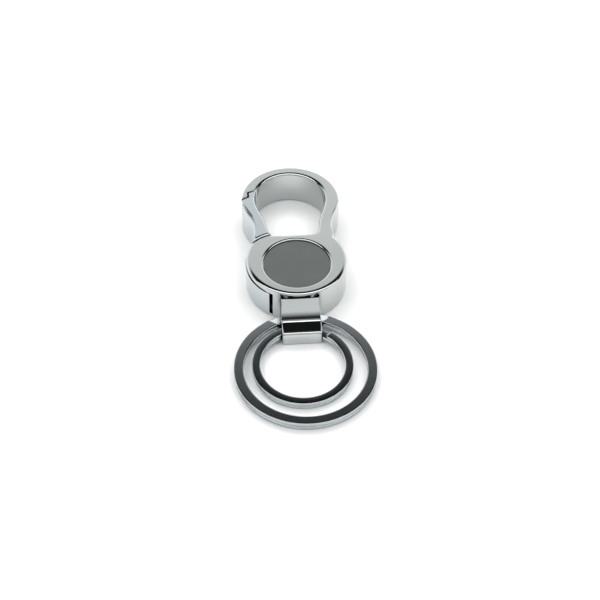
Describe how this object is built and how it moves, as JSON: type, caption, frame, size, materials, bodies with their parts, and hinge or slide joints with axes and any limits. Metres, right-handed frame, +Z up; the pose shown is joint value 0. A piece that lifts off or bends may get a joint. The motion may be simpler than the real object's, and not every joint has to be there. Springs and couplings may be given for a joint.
{
  "type": "snap hook key holder",
  "caption": "Key holder: round head with a sprung hook gate at one end and a hinged saddle carrying split rings at the other.",
  "frame": {"origin": "middle of the underside of the whole key holder as it lies on its back", "axes": "+Y along its length from the rings to the hook, +Z up through its thickness, +X to the right seen from above with the hook away"},
  "size_m": [0.035, 0.0836, 0.0096],
  "materials": {
    "satin_chrome": "bright chrome over a zinc casting, slightly satin on the flats",
    "ring_chrome": "mirror-bright plated steel wire",
    "inlay": "dark satin metal disc",
    "adhesive": "thin double-sided pad",
    "pin_steel": "plain turned steel",
    "spring_steel": "drawn spring wire",
    "washer_brass": "plain brass"
  },
  "bodies": {
    "head": {"hook_frame": "satin_chrome", "back_cover": "satin_chrome", "front_inlay": "inlay", "front_inlay_pad": "adhesive", "back_inlay": "inlay", "back_inlay_pad": "adhesive", "cover_screw_1": "pin_steel", "cover_screw_2": "pin_steel", "cover_screw_3": "pin_steel", "gate_pivot_post": "pin_steel", "gate_washer_upper": "washer_brass", "gate_washer_lower": "washer_brass", "gate_stop_pin": "pin_steel", "spring_anchor_pin": "pin_steel", "gate_spring": "spring_steel", "saddle_hinge_pin": "pin_steel"},
    "gate": {"gate_lever": "satin_chrome"},
    "saddle": {"ring_saddle": "satin_chrome"},
    "large_ring": {"large_split_ring": "ring_chrome"},
    "small_ring": {"small_split_ring": "ring_chrome"}
  },
  "joints": [
    {"name": "gate_hinge", "type": "hinge", "parent": "head", "child": "gate", "pos_m": [0, 0.00627, 0.0048], "axis": [0, 0, -1], "range_deg": [0, 18], "stiffness_Nm_per_rad": 0.012, "springref_deg": -80.21, "deforming": ["gate_spring"]},
    {"name": "saddle_hinge", "type": "hinge", "parent": "head", "child": "saddle", "pos_m": [0, -0.00433, 0.0056], "axis": [-1, 0, 0], "range_deg": [0, 35]},
    {"name": "large_ring_spin", "type": "hinge", "parent": "saddle", "child": "large_ring", "pos_m": [0, -0.02426, 0.00158], "axis": [0, -0.0262, 0.9997], "continuous": true},
    {"name": "small_ring_spin", "type": "hinge", "parent": "saddle", "child": "small_ring", "pos_m": [-0.0006, -0.02308, 0.00161], "axis": [0, -0.0454, 0.999], "continuous": true}
  ]
}
